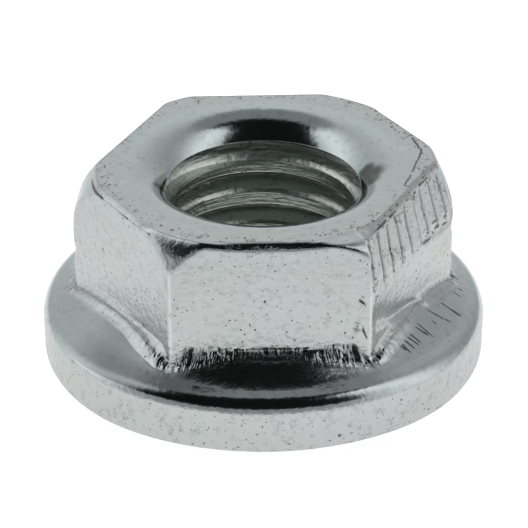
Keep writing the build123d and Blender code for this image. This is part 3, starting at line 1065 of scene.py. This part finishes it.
def plating_layers(tree, spot, marks, mottle):
    """The plating's own colours: faint tints, its mottling and the darker, greener bore, with painted shade
    that darkens the thread's roots and crests.
    """
    tint = node(tree, NOISE, {"Vector": scaled(tree, spot, 3.5), "Scale": 1.0, "Detail": 2.0})
    tint = node(tree, RANGE, {"Value": tint, "From Min": 0.38, "From Max": 0.62}, **EASED)
    mottled = node(tree, RANGE, {"Value": mottle, "From Min": 0.5, "From Max": 0.75}, **EASED)
    # Painted shade: the thread's roots and the flanks under its crests are painted darker, where shade falls.
    root = node(tree, RANGE, {"Value": marks["thread_phase"], "From Min": 0.55, "From Max": 0.66}, **EASED)
    root = node(tree, MATH, {0: root, 1: marks["thread"]}, operation="MULTIPLY")
    # Painted shade: the thread's crests are painted darker, which dims their reflections.
    crest = node(tree, RANGE, {"Value": marks["thread_phase"], "From Min": 0.4, "From Max": 0.34}, **EASED)
    crest = node(tree, MATH, {0: crest, 1: marks["thread"]}, operation="MULTIPLY")
    return [
        (tint, 1.0, "#C8CACB"),
        (marks["polish"], 0.7, "#C0CCCE"),
        (mottled, 0.5, "#9AA09D"),
        (marks["thread"], 1.0, "#AEB7B0"),
        (root, 0.25, "#5A605B"),
        (crest, 0.4, "#848D86"),
    ]


def wear_layers(tree, spot, marks, mottle, pitted, ticks, curled):
    """Marks over the plating: painted shade in pits, the fold, scores, creases and grooves, darker patches
    round the funnel, painted shade on one side of the slope, and painted highlights on corners and the
    thread's edges.
    """
    # Painted shade: the fold and its ticks are painted dark, where shade falls in the crimps.
    crimped = node(tree, MATH, {0: marks["fold"], 1: 0.05, 2: ticks}, operation="MULTIPLY_ADD")
    # Painted shade: the scores in the slope, the flats and the land are painted dark, as shade in their
    # grooves.
    score = node(tree, RANGE, {"Value": marks["scored"], "From Min": 0.15, "From Max": 0.6}, **EASED)
    score = node(tree, MATH, {0: score, 1: land_scores(tree, spot)}, operation="MAXIMUM")
    # The funnel's patches are painted darker, together with some of the mottling.
    funnel_dark = node(tree, MATH, {0: mottle, 1: 0.3, 2: marks["stained"]}, operation="MULTIPLY_ADD")
    funnel_dark = node(tree, RANGE, {"Value": funnel_dark, "From Min": 0.3, "From Max": 0.9}, **EASED)
    return [
        # Painted shade: the pits are painted dark.
        (pitted, 0.75, "#3A3D3C"),
        (crimped, 1.0, "#2A2C2B"),
        (score, 0.85, "#2E3030"),
        # Painted shade: the creases are painted dark.
        (curled, 0.6, "#4A4D4C"),
        # Painted shade: the drag grooves are painted dark.
        (marks["groove"], 0.8, "#4A4E4D"),
        (funnel_dark, 0.9, "#4A4B48"),
        # Painted shade: one side of the polished slope is painted darker.
        (painted_slope_shade(tree, spot, marks), 0.52, "#545551"),
        # Painted highlight: bright lines on the corners and the thread's edges.
        (marks["corner"], 0.45, "#F2F5F3"),
    ]


def plating_roughness(tree, marks, mottle):
    """Smoothest where the die and the punch polished it, and dull in the bore and the mottling."""
    rough = node(tree, RANGE, {"Value": marks["polish"], "To Min": 0.25, "To Max": 0.12})
    rough = node(tree, MATH, {0: mottle, 1: 0.16, 2: rough}, operation="MULTIPLY_ADD")
    rough = node(tree, MATH, {0: rough, 1: 0.08}, operation="SUBTRACT")
    return node(tree, MATH, {0: marks["thread"], 1: 0.14, 2: rough}, operation="MULTIPLY_ADD")


def plating_bump(tree, spot, marks, pitted, ticks, curled):
    """One bump of heights in millimetres: the plating's soft peel, the tap's rings and the wear."""
    peel = node(tree, NOISE, {"Vector": scaled(tree, spot, 0.28), "Scale": 1.0, "Detail": 3.0})
    deep = node(tree, RANGE, {"Value": marks["polish"], "To Min": 0.04, "To Max": 0.006})
    height = node(tree, MATH, {0: peel, 1: deep}, operation="MULTIPLY")
    rings = node(tree, NOISE, {"Vector": scaled(tree, spot, 0.12, (12, 12, 1)), "Scale": 1.0, "Detail": 2.0})
    rings = node(tree, MATH, {0: rings, 1: marks["thread"]}, operation="MULTIPLY")
    for form, high in ((rings, 0.045), (pitted, -0.02), (ticks, -0.03), (curled, -0.01)):
        height = node(tree, MATH, {0: form, 1: high, 2: height}, operation="MULTIPLY_ADD")
    return node(tree, "ShaderNodeBump", {"Height": height, "Strength": 1.0, "Distance": MM})


# Bright zinc over forged steel is a pale, faintly blue grey metal. It mirrors its surroundings where
# the tools pressed the steel smooth, and is soft, mottled and pitted where the forging's skin was left.
def bright_zinc():
    """Bright zinc plating on cold-forged steel."""
    finish = bpy.data.materials.new("bright_zinc_plating_on_forged_steel")
    finish.use_nodes = True
    tree = finish.node_tree
    shader = tree.nodes["Principled BSDF"]
    shader.inputs["Metallic"].default_value = 1.0
    spot = node(tree, "ShaderNodeTexCoord").outputs["Object"]
    marks = {name: node(tree, "ShaderNodeAttribute", attribute_name=name).outputs["Fac"] for name in MARKS}
    mottle = node(tree, NOISE, {
        "Vector": scaled(tree, spot, 0.35), "Scale": 1.0, "Detail": 6.0, "Roughness": 0.65})
    pitted = pitting(tree, spot, marks)
    ticks = fold_ticks(tree, spot, marks)
    curled = skin_creases(tree, spot, marks, mottle)
    layers = plating_layers(tree, spot, marks, mottle)
    layers += wear_layers(tree, spot, marks, mottle, pitted, ticks, curled)
    # The layers go on one over another; some of them are painted shade and painted highlights.
    colour = linear("#C5CBC8")
    for factor, strength, over in layers:
        share = node(tree, MATH, {0: factor, 1: strength}, operation="MULTIPLY")
        colour = node(tree, MIX, {"Factor": share, "A": colour, "B": linear(over)}, data_type="RGBA")
    tree.links.new(colour.outputs[2], shader.inputs["Base Color"])
    rough = plating_roughness(tree, marks, mottle)
    tree.links.new(rough.outputs[0], shader.inputs["Roughness"])
    bump = plating_bump(tree, spot, marks, pitted, ticks, curled)
    tree.links.new(bump.outputs["Normal"], shader.inputs["Normal"])
    return finish


# ---------------------------------------------------------------- studio
# The camera's distance, its height and turn in degrees, and its lens. The lens's length, the aim's drop
# and its shift are counted in the frame's pixels.
CAMERA_REACH = 105.0
CAMERA_HEIGHT = math.radians(30.6)
CAMERA_TURN = math.radians(-2.29)
SENSOR = 36
FRAME_PIXELS = 528
FOCAL_PIXELS = 2398
DROP_PIXELS = 69.4
SHIFT_PIXELS = 0.45
CAMERA_PITCH = math.atan(DROP_PIXELS / FOCAL_PIXELS)
# The panels' ring: the side it opens to, where the opening's edges lie, and the sines of its top
# elsewhere and in the opening. Its edges, and the ceiling's gap's, are soft over PANEL_FADE.
OPEN_SIDE = math.radians(259)
OPEN_FROM = math.cos(math.radians(70))
OPEN_FULL = math.cos(math.radians(57))
PANEL_TOP = math.sin(math.radians(58))
FRONT_TOP = math.sin(math.radians(24))
PANEL_FADE = 0.04
# The lamps stand on both sides of the ring, and raise its top.
LAMP_SIDE = math.radians(348)
LAMP_RISE = 0.06
LAMP_TILT = 0.02
# The dark gap in the ceiling: its edges over the opening, its back end, its middle and half width.
DARK_FROM = math.cos(math.radians(64))
DARK_FULL = math.cos(math.radians(54))
GAP_END = (0.14, 0.05)
GAP_MIDDLE = 0.02
GAP_SLANT = 0.6
GAP_HALF = 0.45
# Strengths of the light. The back panels step up from BACK_LIGHT to BACK_HIGH over BACK_STEP.
GAP_LIGHT = 0.008
CEILING_LIGHT = 0.28
RING_LIGHT = 0.36
SIDE_LIGHT = 0.72
BACK_LIGHT = 0.33
BACK_HIGH = 0.4
BACK_STEP = (0.47, 0.57)
# The paper: half its width in metres, its strength in the metal near the nut, beside it and far off, and its
# glow to the camera. In the metal it is painted light: a pool of light near the nut and a painted shadow
# beside it.
PAPER_HALF = 0.5
PAPER_NEAR = 1.05
PAPER_SHADE = 0.88
PAPER_FAR = 0.76
PAPER_GLOW = 0.76


def set_camera():
    """A long lens from the front, a little under a third of the way up."""
    camera = bpy.data.objects.new("camera", bpy.data.cameras.new("camera"))
    bpy.context.scene.collection.objects.link(camera)
    level = CAMERA_REACH * math.cos(CAMERA_HEIGHT) * MM
    height = CAMERA_REACH * math.sin(CAMERA_HEIGHT) * MM
    camera.location = (level * math.sin(CAMERA_TURN), -level * math.cos(CAMERA_TURN), height)
    camera.rotation_euler = Euler((math.pi / 2 - CAMERA_HEIGHT + CAMERA_PITCH, 0, CAMERA_TURN))
    camera.data.sensor_width = SENSOR
    camera.data.lens = SENSOR * FOCAL_PIXELS / FRAME_PIXELS
    camera.data.shift_x = SHIFT_PIXELS / FRAME_PIXELS
    camera.data.clip_start = 0.001
    camera.data.clip_end = 10
    bpy.context.scene.camera = camera


def panels_over(tree, way, opening, lamps, beside):
    """1 where a direction meets the ring of panels, 0 above it. The ring dips towards the camera."""
    top = node(tree, RANGE, {
        "Value": opening, "From Min": OPEN_FROM, "From Max": OPEN_FULL,
        "To Min": PANEL_TOP, "To Max": FRONT_TOP}, **EASED)
    rise = node(tree, MATH, {0: lamps, 1: LAMP_TILT, 2: LAMP_RISE}, operation="MULTIPLY_ADD")
    top = node(tree, MATH, {0: beside, 1: rise, 2: top}, operation="MULTIPLY_ADD")
    over = node(tree, MATH, {0: way.outputs["Z"], 1: top}, operation="SUBTRACT")
    return node(tree, RANGE, {"Value": over, "From Min": PANEL_FADE, "From Max": -PANEL_FADE}, **EASED)


def panel_light(tree, way, bearing, beside):
    """The panels' light: brightest at the lamps on both sides, and brighter at the back."""
    back = node(tree, "ShaderNodeSeparateXYZ", {0: bearing}).outputs["Y"]
    back = node(tree, MATH, {0: back, 1: 0.0}, operation="MAXIMUM")
    back = node(tree, MATH, {0: back, 1: 4.0}, operation="POWER")
    shone = node(tree, RANGE, {
        "Value": way.outputs["Z"], "From Min": BACK_STEP[0], "From Max": BACK_STEP[1],
        "To Min": BACK_LIGHT, "To Max": BACK_HIGH})
    light = node(tree, MATH, {0: beside, 1: SIDE_LIGHT, 2: RING_LIGHT}, operation="MULTIPLY_ADD")
    return node(tree, MATH, {0: back, 1: shone, 2: light}, operation="MULTIPLY_ADD")


def ceiling_light(tree, way, opening):
    """The ceiling's light: dim, and dark in the gap over the camera's side."""
    forward = node(tree, RANGE, {
        "Value": way.outputs["Y"], "From Min": GAP_END[0], "From Max": GAP_END[1]}, **EASED)
    middle = node(tree, MATH, {0: way.outputs["Y"], 1: GAP_SLANT, 2: GAP_MIDDLE}, operation="MULTIPLY_ADD")
    aside = node(tree, MATH, {0: way.outputs["X"], 1: middle}, operation="SUBTRACT")
    aside = node(tree, MATH, {0: aside}, operation="ABSOLUTE")
    gap = node(tree, RANGE, {
        "Value": aside, "From Min": GAP_HALF + PANEL_FADE, "From Max": GAP_HALF - PANEL_FADE}, **EASED)
    dark = node(tree, RANGE, {"Value": opening, "From Min": DARK_FROM, "From Max": DARK_FULL}, **EASED)
    gap = node(tree, MATH, {0: gap, 1: dark}, operation="MAXIMUM")
    gap = node(tree, MATH, {0: gap, 1: forward}, operation="MULTIPLY")
    return node(tree, MIX, {0: gap, 2: CEILING_LIGHT, 3: GAP_LIGHT})


def set_world():
    """A ring of pale panels round the nut, open towards the camera, under a dim ceiling."""
    world = bpy.data.worlds.new("studio")
    bpy.context.scene.world = world
    world.use_nodes = True
    tree = world.node_tree
    tree.nodes.clear()
    direction = node(tree, "ShaderNodeTexCoord").outputs["Generated"]
    way = node(tree, "ShaderNodeSeparateXYZ", {0: direction})
    level = node(tree, VECTOR, {0: direction, 1: (1, 1, 0)}, operation="MULTIPLY")
    bearing = node(tree, VECTOR, {0: level}, operation="NORMALIZE")
    facing = []
    for side in (OPEN_SIDE, LAMP_SIDE):
        toward = (math.cos(side), math.sin(side), 0)
        facing.append(node(tree, VECTOR, {0: bearing, 1: toward}, operation="DOT_PRODUCT").outputs["Value"])
    opening, lamps = facing
    beside = node(tree, MATH, {0: lamps}, operation="ABSOLUTE")
    beside = node(tree, MATH, {0: beside, 1: 8.0}, operation="POWER")
    panels = panels_over(tree, way, opening, lamps, beside)
    ceiling = ceiling_light(tree, way, opening)
    light = node(tree, MIX, {0: panels, 2: ceiling, 3: panel_light(tree, way, bearing, beside)})
    camera_ray = node(tree, "ShaderNodeLightPath").outputs["Is Camera Ray"]
    seen = node(tree, MATH, {0: camera_ray, 1: light}, operation="MAXIMUM")
    glow = node(tree, "ShaderNodeBackground", {"Color": (1, 1, 1, 1), "Strength": seen})
    node(tree, "ShaderNodeOutputWorld", {"Surface": glow})


def white_paper():
    """White paper: plain white to the camera but for the nut's soft shadow. The metal mirrors a glow of it
    that is painted light: a little brighter near the nut than far off, with a painted shadow at the nut's
    foot."""
    paper = bpy.data.materials.new("white_paper")
    paper.use_nodes = True
    tree = paper.node_tree
    tree.nodes.clear()
    path = node(tree, "ShaderNodeLightPath")
    spot = node(tree, "ShaderNodeTexCoord").outputs["Object"]
    away = node(tree, VECTOR, {0: spot}, operation="LENGTH").outputs["Value"]
    # Painted light in the reflections: brighter near the nut, with a painted shadow at its foot.
    lit = node(tree, RANGE, {
        "Value": away, "From Min": FLANGE_RADIUS * MM, "From Max": 4 * FLANGE_RADIUS * MM,
        "To Min": PAPER_NEAR, "To Max": PAPER_FAR})
    shade = node(tree, RANGE, {
        "Value": away, "From Min": FLANGE_RADIUS * MM, "From Max": 1.4 * FLANGE_RADIUS * MM,
        "To Min": PAPER_SHADE})
    lit = node(tree, MATH, {0: lit, 1: shade}, operation="MULTIPLY")
    diffuse = node(tree, "ShaderNodeBsdfDiffuse", {"Color": linear("#F2F2F2")})
    glow = node(tree, "ShaderNodeEmission", {"Strength": PAPER_GLOW})
    shown = node(tree, "ShaderNodeAddShader", {0: diffuse, 1: glow})
    shown = node(tree, "ShaderNodeMixShader", {0: path.outputs["Is Camera Ray"], 1: diffuse, 2: shown})
    mirrored = node(tree, "ShaderNodeEmission", {"Strength": lit})
    both = node(tree, "ShaderNodeMixShader", {0: path.outputs["Is Glossy Ray"], 1: shown, 2: mirrored})
    node(tree, "ShaderNodeOutputMaterial", {"Surface": both})
    return paper


def set_floor():
    """A sheet of white paper under the nut."""
    mesh = bpy.data.meshes.new("floor")
    corners = [(-1, -1), (1, -1), (1, 1), (-1, 1)]
    mesh.from_pydata([(x * PAPER_HALF, y * PAPER_HALF, 0) for x, y in corners], [], [(0, 1, 2, 3)])
    floor = bpy.data.objects.new("floor", mesh)
    bpy.context.scene.collection.objects.link(floor)
    floor.data.materials.append(white_paper())


# ---------------------------------------------------------------- the scene
zinc = bright_zinc()
nut = bpy.data.objects.new("flange_nut_zinc_plated", nut_blank())
bpy.context.scene.collection.objects.link(nut)
forged_surface(nut, zinc)
fold_wrinkles(nut, zinc)
drag_marks(nut, zinc)
cut_thread(nut, zinc)
press_serrations(nut, zinc)
make_plain(nut)
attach(nut, "root")
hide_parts("flange_nut")
set_floor()
set_world()
set_camera()
bpy.context.scene.view_settings.view_transform = "Standard"
